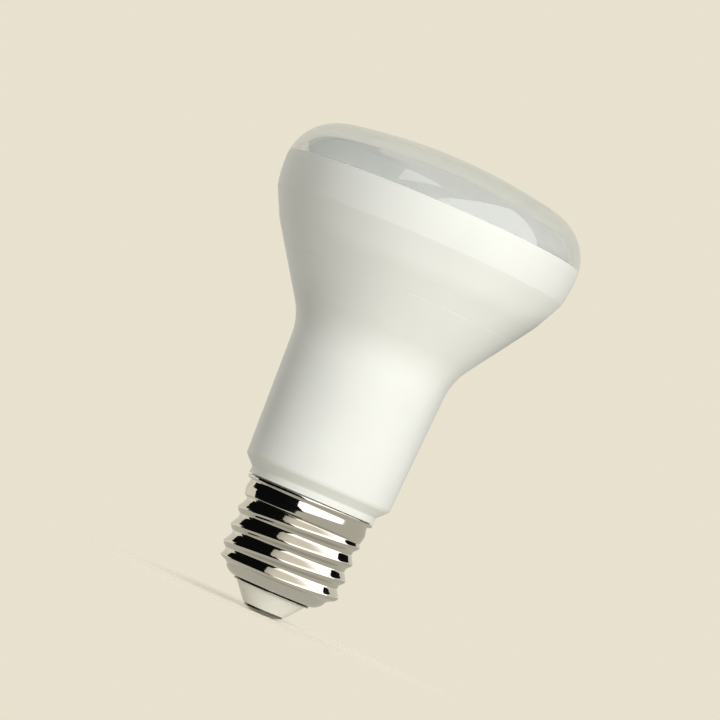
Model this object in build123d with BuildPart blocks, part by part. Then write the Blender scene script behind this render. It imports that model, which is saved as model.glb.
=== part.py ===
from build123d import *
import os
from math import asin, atan2, cos, degrees, pi, radians, sin, sqrt, tan

# Reflector lamp with an LED light source and an E27 screw cap.
# Lengths are in millimetres, angles in degrees.
# The lamp's axis is Z, the end face of its centre contact lies at Z = 0, and its cover points along +Z.

# Head and cover
overall_length = 98.7
head_radius = 31.5
crown_radius = 110.0
shoulder_radius = 10.25
joint_rise = 1.2            # the joint lies this far above the widest level
cover_side_wall = 2.0
cover_crown_wall = 3.2
cover_skirt_wall = 1.0
cover_skirt_length = 4.0

# Housing
housing_wall = 1.6
rim_height = 6.2            # from the widest level down to the crease under the rim
rim_blend_radius = 26.0
rim_angle = 13.0            # the rim draws in by this much at the crease
crease_blend_radius = 0.8
rim_bore_blend = 10.0       # inside the head, behind the crease
band_angle = 26.1           # half angle of the band between the crease and the flare
band_height = 5.8
band_blend_radius = 20.0
cone_angle = 34.0           # half angle of the flare
neck_blend_radius = 13.0
neck_taper = 2.4
neck_foot_radius = 15.45
neck_foot_rise = 2.0        # from the collar's top to the foot of the neck
neck_foot_blend = 1.2
neck_floor_rise = 2.4       # from the collar's top to the floor inside the neck
collar_radius = 13.4
collar_height = 1.4
collar_edge_blend = 0.4
shadow_gap_height = 0.2
shadow_gap_depth = 0.7
parting_line_drop = 5.0     # from the flare's top down to the mould's parting line
parting_line_width = 0.14
spigot_wall = 2.0
spigot_clearance = 0.7      # lane for the neutral lead, between the spigot and the screw shell
spigot_end_wall = 0.9
spigot_end_taper = 1.4
rail_length = 2.1
rail_width = 1.0
rail_top_drop = 2.0         # from the neck's floor down to the top of the board rails
lead_slot_width = 1.4
lead_slot_height = 4.0

# Screw cap, E27
thread_pitch = 3.629
thread_major_radius = 13.05
thread_minor_radius = 12.05
thread_length = 14.0
thread_runout = 1.2
thread_crest_height = 14.4  # height of a crest on the -X side
sections_per_turn = 12
cap_sheet = 0.35
cap_opening_radius = 7.1
cap_floor_radius = 7.5
cap_root_radius = 10.7
cap_shoulder_height = 2.3
cap_shoulder_bulge = 0.45
cap_skirt_radius = 12.7
cap_skirt_top_radius = 12.6
cap_skirt_bulge = 0.2
cap_skirt_length = 3.1
cap_lip_slope = 0.35
cap_lip_height = 0.55
contact_radius = 4.1
contact_face_radius = 2.4
contact_edge = 0.4
contact_height = 1.0
contact_pin_radius = 1.1
contact_pin_length = 8.0
insulator_height = 3.6
insulator_tip_radius = 4.45
insulator_base_radius = 7.4
insulator_flange_radius = 9.6
insulator_flange_slope = 1.5
insulator_flange_height = 1.0

# Light source
sink_sheet = 1.0
sink_plate_thickness = 1.2
sink_neck_length = 14.0     # from the flare's lower corner down to the liner's end
board_depth = 8.0           # from the reflector's seat down to the plate
led_board_thickness = 1.2
led_board_margin = 2.2
lead_hole_radius = 3.2
led_count = 15
led_screw_spacing = 4.3     # from the ring of screws in to the ring of LEDs
led_length = 3.5
led_width = 2.8
led_height = 0.75
led_window_radius = 1.1
led_window_depth = 0.2
screw_count = 3
screw_edge_distance = 4.7   # from the LED board's edge in to the ring of screws
screw_radius = 1.2
screw_head_radius = 2.1
screw_head_height = 1.3
screw_length = 3.4
screw_slot_width = 0.5
screw_slot_depth = 0.6
reflector_wall = 1.0
reflector_foot = 1.6
reflector_flange = 1.0
connector_length = 9.0
connector_width = 5.0
connector_height = 3.2
connector_edge = 0.4

# Driver
driver_thickness = 1.2
driver_width = 22.0
driver_length = 33.0        # above the neck's floor
driver_foot_room = 3.0      # from the contact's pin up to the driver board
bulk_capacitor_radius = 5.0
bulk_capacitor_length = 16.0
output_capacitor_radius = 3.15
output_capacitor_length = 11.0
capacitor_edge = 0.5
capacitor_bead_depth = 0.4
capacitor_bead_height = 1.6
inductor_radius = 4.0
inductor_height = 7.0
inductor_flange = 1.0
inductor_waist_radius = 2.0
winding_radius = 3.6
film_capacitor_width = 8.0
film_capacitor_length = 7.0
film_capacitor_depth = 5.0
film_capacitor_edge = 0.6
fuse_radius = 1.8
fuse_waist_radius = 1.5
fuse_length = 9.0
fuse_end_length = 2.2
bridge_width = 4.7
bridge_length = 4.0
bridge_depth = 2.4
chip_width = 4.9
chip_length = 3.9
chip_depth = 1.5
diode_width = 2.6
diode_length = 4.4
diode_depth = 2.2
resistor_width = 1.25
resistor_length = 2.0
resistor_depth = 0.55
resistor_count = 4
resistor_spacing = 3.2
part_spacing = 1.0          # between neighbours on the driver board
live_lead_radius = 0.6
neutral_lead_radius = 0.3
led_lead_radius = 0.5
lead_side = 3.0             # the mains leads' distance from the board's middle
led_lead_side = 1.5
lead_joint_length = 5.0     # length of a lead that lies on the board
lead_bend = 0.3

# Clearances
fit_gap = 0.1
drop_gap = 0.2              # between the reflector's flange and the cover's skirt
hole_gap = 0.05

# Levels and lines that follow from the sizes above
insulator_base_height = contact_height + insulator_height
cap_floor_height = insulator_base_height
thread_bottom = cap_floor_height + cap_shoulder_height
thread_top = thread_bottom + thread_length
cap_lip_bottom = thread_top + cap_skirt_length
cap_top = cap_lip_bottom + cap_lip_slope + cap_lip_height
collar_bottom = cap_top + shadow_gap_height
collar_top = collar_bottom + collar_height
neck_foot_height = collar_top + neck_foot_rise
neck_floor = collar_top + neck_floor_rise
cap_bore_radius = thread_minor_radius - cap_sheet
spigot_radius = cap_bore_radius - spigot_clearance
spigot_bore_radius = spigot_radius - spigot_wall
flange_top = cap_floor_height + cap_sheet + insulator_flange_slope + insulator_flange_height


def arch_centre(side_radius, corner_radius, apex):
    """Height of the centre of the round corner that joins a side to the crown below an apex."""
    reach = crown_radius - corner_radius
    return apex - crown_radius + sqrt(reach**2 - (side_radius - corner_radius) ** 2)


widest_height = arch_centre(head_radius, shoulder_radius, overall_length)
joint_height = widest_height + joint_rise
joint_angle = degrees(asin(joint_rise / shoulder_radius))
joint_radius = head_radius - shoulder_radius + shoulder_radius * cos(radians(joint_angle))
cover_bore_radius = head_radius - cover_side_wall
cover_skirt_radius = cover_bore_radius + cover_skirt_wall
cover_skirt_bottom = joint_height - cover_skirt_length
rim_bore_radius = cover_skirt_radius + fit_gap
reflector_seat = cover_skirt_bottom - drop_gap - reflector_flange

neck_slope = tan(radians(neck_taper))
cone_slope = tan(radians(cone_angle))
crease_height = widest_height - rim_height
rim_bend_height = crease_height + rim_height / 2
crease_radius = head_radius - (rim_bend_height - crease_height) * tan(radians(rim_angle))
cone_top_height = crease_height - band_height
cone_top_radius = crease_radius - band_height * tan(radians(band_angle))
neck_top_height = (
    neck_foot_radius - neck_foot_height * neck_slope - cone_top_radius + cone_top_height * cone_slope
) / (cone_slope - neck_slope)
neck_top_radius = neck_foot_radius + (neck_top_height - neck_foot_height) * neck_slope


def inset_corner(radius, height, lower_angle, upper_angle, inset):
    """Corner of the housing's outline, moved inwards by a wall's thickness."""
    middle = radians((lower_angle + upper_angle) / 2)
    reach = inset / cos(radians((upper_angle - lower_angle) / 2))
    return (radius - reach * cos(middle), height + reach * sin(middle))


def neck_corner(inset):
    return inset_corner(neck_top_radius, neck_top_height, neck_taper, cone_angle, inset)


def band_corner(inset):
    return inset_corner(cone_top_radius, cone_top_height, cone_angle, band_angle, inset)


def rim_corner(inset):
    """Corner where the band's line would meet the head's side, moved inwards."""
    meeting = crease_height + (head_radius - crease_radius) / tan(radians(band_angle))
    return inset_corner(head_radius, meeting, band_angle, 0, inset)


def neck_point(height, inset):
    """Point on the neck's line at a height, moved inwards."""
    radius = neck_foot_radius + (height - neck_foot_height) * neck_slope
    return (radius - inset / cos(radians(neck_taper)), height)


def cone_point(height, inset):
    """Point on the flare's line at a height, moved inwards."""
    radius = cone_top_radius - (cone_top_height - height) * cone_slope
    return (radius - inset / cos(radians(cone_angle)), height)


sink_inset = housing_wall + fit_gap
plate_top = reflector_seat - board_depth
plate_bottom = plate_top - sink_plate_thickness
sink_end = neck_top_height - sink_neck_length
led_board_top = plate_top + led_board_thickness
led_board_radius = cone_point(plate_top, sink_inset)[0] - led_board_margin
screw_ring_radius = led_board_radius - screw_edge_distance
led_ring_radius = screw_ring_radius - led_screw_spacing
driver_top = neck_floor + driver_length
pin_top = contact_height + contact_pin_length
driver_foot = pin_top + driver_foot_room
driver_tongue_length = neck_floor - driver_foot
driver_front = -driver_thickness / 2
driver_back = driver_thickness / 2

os.makedirs("parts", exist_ok=True)


# Centre contact: a button with a flat end face, and the pin that holds it in the insulator
with BuildPart() as centre_contact:
    with BuildSketch(Plane.XZ):
        with BuildLine():
            Polyline(
                (0, 0),
                (contact_face_radius, 0),
                (contact_radius, contact_height - contact_edge),
                (contact_radius, contact_height),
                (contact_pin_radius, contact_height),
                (contact_pin_radius, pin_top),
                (0, pin_top),
                close=True,
            )
        make_face()
    revolve(axis=Axis.Z)
centre_contact.part.label = "centre_contact"
export_step(centre_contact.part, "parts/centre_contact.step")


# Insulator: a cone outside the shell, a throat through its opening and a flange inside it
with BuildPart() as insulator:
    with BuildSketch(Plane.XZ):
        with BuildLine():
            Polyline(
                (contact_pin_radius + hole_gap, contact_height),
                (insulator_tip_radius, contact_height),
                (insulator_base_radius, insulator_base_height),
                (cap_opening_radius - hole_gap, insulator_base_height),
                (cap_opening_radius - hole_gap, cap_floor_height + cap_sheet),
                (cap_floor_radius, cap_floor_height + cap_sheet),
                (insulator_flange_radius, flange_top - insulator_flange_height),
                (insulator_flange_radius, flange_top),
                (contact_pin_radius + hole_gap, flange_top),
                close=True,
            )
        make_face()
    revolve(axis=Axis.Z)
insulator.part.label = "insulator"
export_step(insulator.part, "parts/insulator.step")


# Screw shell: the thread is a loft through circles that circle the axis once in every pitch
def runout(distance):
    """Smooth step from 0 to 1 over the thread's runout."""
    share = min(max(distance / thread_runout, 0), 1)
    return share * share * (3 - 2 * share)


def thread_circle(height):
    """Centre and radius of the shell's outline at a height."""
    middle_radius = (thread_major_radius + thread_minor_radius) / 2
    throw = (thread_major_radius - thread_minor_radius) / 2
    start = runout(height - thread_bottom)
    end = runout(thread_top - height)
    radius = cap_root_radius + (middle_radius - cap_root_radius) * start
    radius += (cap_skirt_radius - middle_radius) * (1 - end)
    throw *= start * end
    turn = pi + 2 * pi * (height - thread_crest_height) / thread_pitch
    return (throw * cos(turn), throw * sin(turn)), radius


thread_sections = round(sections_per_turn * thread_length / thread_pitch)
with BuildPart() as screw_shell:
    for section in range(thread_sections + 1):
        section_height = thread_bottom + thread_length * section / thread_sections
        section_centre, section_radius = thread_circle(section_height)
        with BuildSketch(Plane.XY.offset(section_height)):
            with Locations(section_centre):
                Circle(section_radius)
    loft()
    with BuildSketch(Plane.XZ):
        with BuildLine():
            floor_line = Polyline(
                (0, thread_bottom),
                (0, cap_floor_height),
                (cap_floor_radius, cap_floor_height),
            )
            SagittaArc(floor_line @ 1, (cap_root_radius, thread_bottom), -cap_shoulder_bulge)
            Line((cap_root_radius, thread_bottom), floor_line @ 0)
        make_face()
        with BuildLine():
            skirt_arc = SagittaArc(
                (cap_skirt_radius, thread_top), (cap_skirt_top_radius, cap_lip_bottom), -cap_skirt_bulge
            )
            Polyline(
                skirt_arc @ 1,
                (collar_radius, cap_lip_bottom + cap_lip_slope),
                (collar_radius, cap_top),
                (0, cap_top),
                (0, thread_top),
                skirt_arc @ 0,
            )
        make_face()
    revolve(axis=Axis.Z)
    with BuildSketch(Plane.XZ):
        with BuildLine():
            opening_line = Polyline(
                (0, cap_floor_height),
                (cap_opening_radius, cap_floor_height),
                (cap_opening_radius, cap_floor_height + cap_sheet),
                (cap_floor_radius, cap_floor_height + cap_sheet),
            )
            shoulder_end = (cap_root_radius - cap_sheet, thread_bottom)
            SagittaArc(opening_line @ 1, shoulder_end, -cap_shoulder_bulge)
            Polyline(
                shoulder_end,
                (cap_bore_radius, thread_bottom + thread_runout),
                (cap_bore_radius, thread_top - thread_runout),
                (cap_skirt_radius - cap_sheet, thread_top),
                (cap_skirt_top_radius - cap_sheet, cap_lip_bottom + cap_sheet / 2),
                (collar_radius - cap_sheet, cap_lip_bottom + cap_lip_slope + cap_sheet / 2),
                (collar_radius - cap_sheet, cap_top),
                (0, cap_top),
                opening_line @ 0,
            )
        make_face()
    revolve(axis=Axis.Z, mode=Mode.SUBTRACT)
screw_shell.part.label = "screw_shell"
export_step(screw_shell.part, "parts/screw_shell.step")


# Housing: spigot, collar, neck, flare, band and creased rim in one moulding
parting_radius, parting_height = cone_point(cone_top_height - parting_line_drop, 0)
with BuildPart() as housing:
    with BuildSketch(Plane.XZ):
        with BuildLine():
            foot_line = Polyline(
                (0, flange_top),
                (spigot_bore_radius + spigot_end_wall, flange_top),
                (spigot_radius, flange_top + spigot_end_taper),
                (spigot_radius, cap_top),
                (collar_radius - shadow_gap_depth, cap_top),
                (collar_radius - shadow_gap_depth, collar_bottom),
                (collar_radius, collar_bottom),
            )
            FilletPolyline(
                foot_line @ 1,
                (collar_radius, collar_top),
                (neck_foot_radius, neck_foot_height),
                (neck_top_radius, neck_top_height),
                (cone_top_radius, cone_top_height),
                (crease_radius, crease_height),
                (head_radius, rim_bend_height),
                (head_radius, widest_height),
                radius=[
                    collar_edge_blend,
                    neck_foot_blend,
                    neck_blend_radius,
                    band_blend_radius,
                    crease_blend_radius,
                    rim_blend_radius,
                ],
            )
            rim_centre = (head_radius - shoulder_radius, widest_height)
            rim_arc = CenterArc(rim_centre, shoulder_radius, 0, joint_angle)
            Polyline(rim_arc @ 1, (0, joint_height), foot_line @ 0)
        make_face()
    revolve(axis=Axis.Z)
    with BuildSketch(Plane.XZ):
        with BuildLine():
            wall_line = FilletPolyline(
                neck_point(neck_floor, housing_wall),
                neck_corner(housing_wall),
                band_corner(housing_wall),
                rim_corner(housing_wall),
                (head_radius - housing_wall, joint_height),
                radius=[
                    neck_blend_radius + housing_wall,
                    band_blend_radius - housing_wall,
                    rim_bore_blend,
                ],
            )
            Polyline(wall_line @ 1, (0, joint_height), (0, neck_floor), wall_line @ 0)
        make_face()
    revolve(axis=Axis.Z, mode=Mode.SUBTRACT)
    with BuildSketch(Plane.XY.offset(reflector_seat)):
        Circle(rim_bore_radius)
    extrude(amount=joint_height - reflector_seat, mode=Mode.SUBTRACT)
    with BuildSketch(Plane.XY.offset(flange_top)):
        Circle(spigot_bore_radius)
    extrude(amount=neck_floor - flange_top, mode=Mode.SUBTRACT)
    with BuildSketch(Plane.XY.offset(flange_top)):
        with Locations((lead_side, -spigot_radius)):
            Rectangle(lead_slot_width, 2 * (spigot_wall + lead_side))
    extrude(amount=lead_slot_height, mode=Mode.SUBTRACT)
    # Two pairs of rails along the spigot's bore hold the edges of the driver board
    with BuildSketch(Plane.XY.offset(driver_foot)):
        rail_reach = spigot_bore_radius + spigot_wall / 4
        with GridLocations(
            2 * rail_reach - rail_length, driver_thickness + 2 * fit_gap + rail_width, 2, 2
        ):
            Rectangle(rail_length, rail_width)
    extrude(amount=neck_floor - rail_top_drop - driver_foot)
    # The two halves of the mould leave a fine groove round the flare
    with BuildSketch(Plane.XZ):
        with Locations((parting_radius, parting_height)):
            RegularPolygon(parting_line_width / 2, 4, rotation=-cone_angle)
    revolve(axis=Axis.Z, mode=Mode.SUBTRACT)
housing.part.label = "housing"
export_step(housing.part, "parts/housing.step")


# Cover: crown, round shoulder and a skirt that drops inside the housing's rim
def arch(side_radius, corner_radius, apex, low_angle):
    """Shoulder and crown arcs from a low angle on the shoulder up to the apex."""
    corner_height = arch_centre(side_radius, corner_radius, apex)
    corner_offset = side_radius - corner_radius
    meeting = degrees(atan2(corner_height - apex + crown_radius, corner_offset))
    CenterArc((corner_offset, corner_height), corner_radius, low_angle, meeting - low_angle)
    CenterArc((0, apex - crown_radius), crown_radius, meeting, 90 - meeting)


cover_apex = overall_length - cover_crown_wall
cover_corner_radius = shoulder_radius - cover_side_wall
with BuildPart() as cover:
    with BuildSketch(Plane.XZ):
        with BuildLine():
            arch(head_radius, shoulder_radius, overall_length, joint_angle)
            Line((0, overall_length), (0, cover_apex))
            arch(cover_bore_radius, cover_corner_radius, cover_apex, 0)
            Polyline(
                (cover_bore_radius, arch_centre(cover_bore_radius, cover_corner_radius, cover_apex)),
                (cover_bore_radius, cover_skirt_bottom),
                (cover_skirt_radius, cover_skirt_bottom),
                (cover_skirt_radius, joint_height),
                (joint_radius, joint_height),
            )
        make_face()
    revolve(axis=Axis.Z)
cover.part.label = "cover"
export_step(cover.part, "parts/cover.step")


# Heat sink: a spun liner in the flare and the neck, closed by the plate that carries the LED board
with BuildPart() as heat_sink:
    with BuildSketch(Plane.XZ):
        with BuildLine():
            outer_line = FilletPolyline(
                neck_point(sink_end, sink_inset),
                neck_corner(sink_inset),
                cone_point(plate_top, sink_inset),
                radius=[neck_blend_radius + sink_inset],
            )
            inner_line = FilletPolyline(
                neck_point(sink_end, sink_inset + sink_sheet),
                neck_corner(sink_inset + sink_sheet),
                cone_point(plate_bottom, sink_inset + sink_sheet),
                radius=[neck_blend_radius + sink_inset + sink_sheet],
            )
            Line(outer_line @ 0, inner_line @ 0)
            Polyline(
                outer_line @ 1,
                (lead_hole_radius, plate_top),
                (lead_hole_radius, plate_bottom),
                inner_line @ 1,
            )
        make_face()
    revolve(axis=Axis.Z)
    with BuildSketch(Plane.XY.offset(plate_top)):
        with PolarLocations(screw_ring_radius, screw_count, start_angle=180 / led_count):
            Circle(screw_radius + hole_gap)
    extrude(amount=-sink_plate_thickness, mode=Mode.SUBTRACT)
heat_sink.part.label = "heat_sink"
export_step(heat_sink.part, "parts/heat_sink.step")


# LED board
with BuildPart() as led_board:
    with BuildSketch(Plane.XY.offset(plate_top)):
        Circle(led_board_radius)
        Circle(lead_hole_radius, mode=Mode.SUBTRACT)
        with PolarLocations(screw_ring_radius, screw_count, start_angle=180 / led_count):
            Circle(screw_radius + fit_gap, mode=Mode.SUBTRACT)
    extrude(amount=led_board_thickness)
led_board.part.label = "led_board"
export_step(led_board.part, "parts/led_board.step")


# LED packages: one node each, with a shallow window for the phosphor
for number in range(led_count):
    led_angle = number * 360 / led_count
    led_plane = Plane.XY.offset(led_board_top).rotated((0, 0, led_angle))
    with BuildPart() as led:
        with BuildSketch(led_plane):
            with Locations((led_ring_radius, 0)):
                Rectangle(led_length, led_width)
        extrude(amount=led_height)
        with BuildSketch(led_plane.offset(led_height)):
            with Locations((led_ring_radius, 0)):
                RegularPolygon(led_window_radius, 12)
        extrude(amount=-led_window_depth, mode=Mode.SUBTRACT)
    led_name = f"led_{number + 1:02d}"
    led.part.label = led_name
    export_step(led.part, f"parts/{led_name}.step")


# LED connector: a block over the board's centre hole
with BuildPart() as led_connector:
    with BuildSketch(Plane.XY.offset(led_board_top)):
        Rectangle(connector_length, connector_width)
    extrude(amount=connector_height)
    chamfer(led_connector.faces().sort_by(Axis.Z)[-1].edges(), connector_edge)
led_connector.part.label = "led_connector"
export_step(led_connector.part, "parts/led_connector.step")


# Board screws
with BuildPart() as board_screws:
    with BuildSketch(Plane.XY.offset(led_board_top)):
        with PolarLocations(screw_ring_radius, screw_count, start_angle=180 / led_count):
            Circle(screw_head_radius)
    extrude(amount=screw_head_height, taper=10)
    with BuildSketch(Plane.XY.offset(led_board_top)):
        with PolarLocations(screw_ring_radius, screw_count, start_angle=180 / led_count):
            Circle(screw_radius)
    extrude(amount=-screw_length)
    with BuildSketch(Plane.XY.offset(led_board_top + screw_head_height)):
        with PolarLocations(screw_ring_radius, screw_count, start_angle=180 / led_count):
            Rectangle(2 * screw_radius, screw_slot_width)
            Rectangle(screw_slot_width, 2 * screw_radius)
    extrude(amount=-screw_slot_depth, mode=Mode.SUBTRACT)
board_screws.part.label = "board_screws"
export_step(board_screws.part, "parts/board_screws.step")


# Reflector: from its foot on the LED board up to a flange on the housing's seat
reflector_foot_radius = led_board_radius - drop_gap
reflector_flange_radius = rim_bore_radius - drop_gap
reflector_mouth_radius = head_radius - housing_wall - 2 * reflector_wall
with BuildPart() as reflector:
    with BuildSketch(Plane.XZ):
        with BuildLine():
            Polyline(
                (reflector_foot_radius - reflector_foot, led_board_top),
                (reflector_foot_radius, led_board_top),
                (reflector_foot_radius, led_board_top + reflector_wall),
                (reflector_mouth_radius + reflector_wall, reflector_seat),
                (reflector_flange_radius, reflector_seat),
                (reflector_flange_radius, reflector_seat + reflector_flange),
                (reflector_mouth_radius, reflector_seat + reflector_flange),
                close=True,
            )
        make_face()
    revolve(axis=Axis.Z)
reflector.part.label = "reflector"
export_step(reflector.part, "parts/reflector.step")


# Driver board: its shoulders stand on the neck's floor and its tongue slides between the rails
tongue_width = 2 * (spigot_bore_radius - drop_gap)
with BuildPart() as driver_board:
    with BuildSketch(Plane.XZ.offset(driver_front)):
        with Locations((0, neck_floor + driver_length / 2)):
            Rectangle(driver_width, driver_length)
        with Locations((0, neck_floor - driver_tongue_length / 2)):
            Rectangle(tongue_width, driver_tongue_length)
    extrude(amount=driver_thickness)
driver_board.part.label = "driver_board"
export_step(driver_board.part, "parts/driver_board.step")


# Electrolytic capacitors lie on the front of the driver board
def capacitor(radius, length, side, foot):
    """Can with a rolled bead near its foot, lying along the board."""
    axis_plane = Plane((side, driver_front - hole_gap - radius, foot))
    with BuildPart() as can:
        with BuildSketch(axis_plane):
            Circle(radius)
        extrude(amount=length)
        chamfer(can.edges().filter_by(GeomType.CIRCLE), capacitor_edge)
        with BuildSketch(axis_plane.offset(capacitor_bead_height)):
            Circle(radius)
            Circle(radius - capacitor_bead_depth, mode=Mode.SUBTRACT)
        extrude(amount=capacitor_bead_depth, mode=Mode.SUBTRACT)
    return can


bulk_side = bulk_capacitor_radius - part_spacing / 2
bulk_foot = neck_floor + 4 * part_spacing
bulk_capacitor = capacitor(bulk_capacitor_radius, bulk_capacitor_length, bulk_side, bulk_foot)
bulk_capacitor.part.label = "bulk_capacitor"
export_step(bulk_capacitor.part, "parts/bulk_capacitor.step")

output_foot = bulk_foot + bulk_capacitor_length + part_spacing
output_capacitor = capacitor(output_capacitor_radius, output_capacitor_length, bulk_side, output_foot)
output_capacitor.part.label = "output_capacitor"
export_step(output_capacitor.part, "parts/output_capacitor.step")


# Inductor: a drum core that stands on the board, with its winding between the flanges
inductor_side = bulk_side - bulk_capacitor_radius - part_spacing - inductor_radius
inductor_height_on_board = neck_floor + 4 * part_spacing + inductor_radius
inductor_plane = Plane(
    (inductor_side, driver_front, inductor_height_on_board), x_dir=(1, 0, 0), z_dir=(0, -1, 0)
)
with BuildPart() as inductor_core:
    with BuildSketch(inductor_plane, inductor_plane.offset(inductor_height - inductor_flange)):
        Circle(inductor_radius)
    extrude(amount=inductor_flange)
    with BuildSketch(inductor_plane):
        Circle(inductor_waist_radius)
    extrude(amount=inductor_height)
inductor_core.part.label = "inductor_core"
export_step(inductor_core.part, "parts/inductor_core.step")

with BuildPart() as inductor_winding:
    with BuildSketch(inductor_plane.offset(inductor_flange)):
        Circle(winding_radius)
        Circle(inductor_waist_radius + hole_gap, mode=Mode.SUBTRACT)
    extrude(amount=inductor_height - 2 * inductor_flange)
inductor_winding.part.label = "inductor_winding"
export_step(inductor_winding.part, "parts/inductor_winding.step")


# Film capacitor above the inductor
with BuildPart() as film_capacitor:
    film_foot = inductor_height_on_board + inductor_radius + part_spacing
    with BuildSketch(Plane.XZ.offset(-driver_front)):
        with Locations((inductor_side, film_foot + film_capacitor_length / 2)):
            RectangleRounded(film_capacitor_width, film_capacitor_length, film_capacitor_edge)
    extrude(amount=film_capacitor_depth)
film_capacitor.part.label = "film_capacitor"
export_step(film_capacitor.part, "parts/film_capacitor.step")


# Fuse resistor between the mains leads, on the tongue
fuse_foot = driver_foot + lead_joint_length
fuse_plane = Plane(
    (0, driver_front - hole_gap - fuse_radius, fuse_foot), x_dir=(1, 0, 0), z_dir=(0, -1, 0)
)
fuse_step = fuse_radius - fuse_waist_radius
with BuildPart() as fuse_resistor:
    with BuildSketch(fuse_plane):
        with BuildLine():
            Polyline(
                (0, 0),
                (fuse_radius, 0),
                (fuse_radius, fuse_end_length),
                (fuse_waist_radius, fuse_end_length + fuse_step),
                (fuse_waist_radius, fuse_length - fuse_end_length - fuse_step),
                (fuse_radius, fuse_length - fuse_end_length),
                (fuse_radius, fuse_length),
                (0, fuse_length),
                close=True,
            )
        make_face()
    revolve(axis=Axis(fuse_plane.origin, (0, 0, 1)))
fuse_resistor.part.label = "fuse_resistor"
export_step(fuse_resistor.part, "parts/fuse_resistor.step")


# Flat parts on the back of the driver board
def back_block(width, length, depth, side, foot):
    """Moulded block that lies on the back of the driver board."""
    with BuildPart() as block:
        with BuildSketch(Plane.XZ.offset(-driver_back)):
            with Locations((side, foot + length / 2)):
                Rectangle(width, length)
        extrude(amount=-depth)
    return block


bridge_rectifier = back_block(bridge_width, bridge_length, bridge_depth, 0, neck_floor + part_spacing)
bridge_rectifier.part.label = "bridge_rectifier"
export_step(bridge_rectifier.part, "parts/bridge_rectifier.step")

chip_foot = neck_floor + 2 * part_spacing + bridge_length + part_spacing
driver_chip = back_block(chip_width, chip_length, chip_depth, 0, chip_foot)
driver_chip.part.label = "driver_chip"
export_step(driver_chip.part, "parts/driver_chip.step")

diode_foot = chip_foot + chip_length + 2 * part_spacing
rectifier_diode = back_block(diode_width, diode_length, diode_depth, 0, diode_foot)
rectifier_diode.part.label = "rectifier_diode"
export_step(rectifier_diode.part, "parts/rectifier_diode.step")

resistor_foot = diode_foot + diode_length + 2 * part_spacing
with BuildPart() as chip_resistors:
    with BuildSketch(Plane.XZ.offset(-driver_back)):
        with Locations((0, resistor_foot + resistor_length / 2)):
            with GridLocations(resistor_spacing, 1, resistor_count, 1):
                Rectangle(resistor_width, resistor_length)
    extrude(amount=-resistor_depth)
chip_resistors.part.label = "chip_resistors"
export_step(chip_resistors.part, "parts/chip_resistors.step")


# Leads: round wires along straight runs and bends
def lead(radius, points):
    """Wire of one thickness along a route, rounded at its corners."""
    with BuildPart() as wire:
        with BuildLine() as route:
            FilletPolyline(*points, radius=lead_bend + radius)
        with BuildSketch(Plane(origin=route.line @ 0, z_dir=route.line % 0)):
            Circle(radius)
        sweep()
    return wire


live_face = driver_front - hole_gap - live_lead_radius
live_lead = lead(
    live_lead_radius,
    [
        (0, 0, pin_top),
        (0, 0, pin_top + 2 * live_lead_radius),
        (-lead_side, live_face, driver_foot - live_lead_radius - drop_gap),
        (-lead_side, live_face, driver_foot + lead_joint_length),
    ],
)
live_lead.part.label = "live_lead"
export_step(live_lead.part, "parts/live_lead.step")

neutral_face = driver_front - hole_gap - neutral_lead_radius
neutral_lane = spigot_radius + spigot_clearance / 2
neutral_turn = flange_top + lead_slot_height - neutral_lead_radius - drop_gap
neutral_side = -sqrt(neutral_lane**2 - lead_side**2)
neutral_lead = lead(
    neutral_lead_radius,
    [
        (lead_side, neutral_face, driver_foot + lead_joint_length),
        (lead_side, neutral_face, neutral_turn),
        (lead_side, neutral_side, neutral_turn),
        (lead_side, neutral_side, thread_top - thread_runout),
    ],
)
neutral_lead.part.label = "neutral_lead"
export_step(neutral_lead.part, "parts/neutral_lead.step")

led_lead_face = driver_front - hole_gap - led_lead_radius
led_lead_room = plate_bottom - driver_top
for led_lead_end, led_lead_x in (("positive", led_lead_side), ("negative", -led_lead_side)):
    led_lead = lead(
        led_lead_radius,
        [
            (led_lead_x, led_lead_face, driver_top - lead_joint_length),
            (led_lead_x, led_lead_face, driver_top + led_lead_room / 4),
            (led_lead_x, 0, plate_bottom - led_lead_room / 4),
            (led_lead_x, 0, led_board_top),
        ],
    )
    led_lead.part.label = f"led_lead_{led_lead_end}"
    export_step(led_lead.part, f"parts/led_lead_{led_lead_end}.step")
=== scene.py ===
from math import cos, pi, radians, sin

import bpy
from mathutils import Matrix, Vector


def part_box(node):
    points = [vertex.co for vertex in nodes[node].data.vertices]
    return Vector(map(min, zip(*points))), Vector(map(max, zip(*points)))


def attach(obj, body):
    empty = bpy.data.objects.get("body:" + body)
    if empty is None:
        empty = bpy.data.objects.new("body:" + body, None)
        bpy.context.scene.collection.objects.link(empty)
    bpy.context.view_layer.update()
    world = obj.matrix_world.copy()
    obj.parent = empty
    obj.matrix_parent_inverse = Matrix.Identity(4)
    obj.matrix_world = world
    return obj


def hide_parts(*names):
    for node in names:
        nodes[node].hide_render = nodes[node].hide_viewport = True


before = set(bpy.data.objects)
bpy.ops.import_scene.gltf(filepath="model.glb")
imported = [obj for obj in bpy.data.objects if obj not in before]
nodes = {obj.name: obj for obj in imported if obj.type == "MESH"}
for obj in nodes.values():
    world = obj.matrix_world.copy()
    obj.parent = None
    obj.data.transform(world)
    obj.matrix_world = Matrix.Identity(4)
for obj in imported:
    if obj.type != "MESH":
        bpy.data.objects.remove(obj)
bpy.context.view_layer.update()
scene = bpy.context.scene
mm = 0.001


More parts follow.
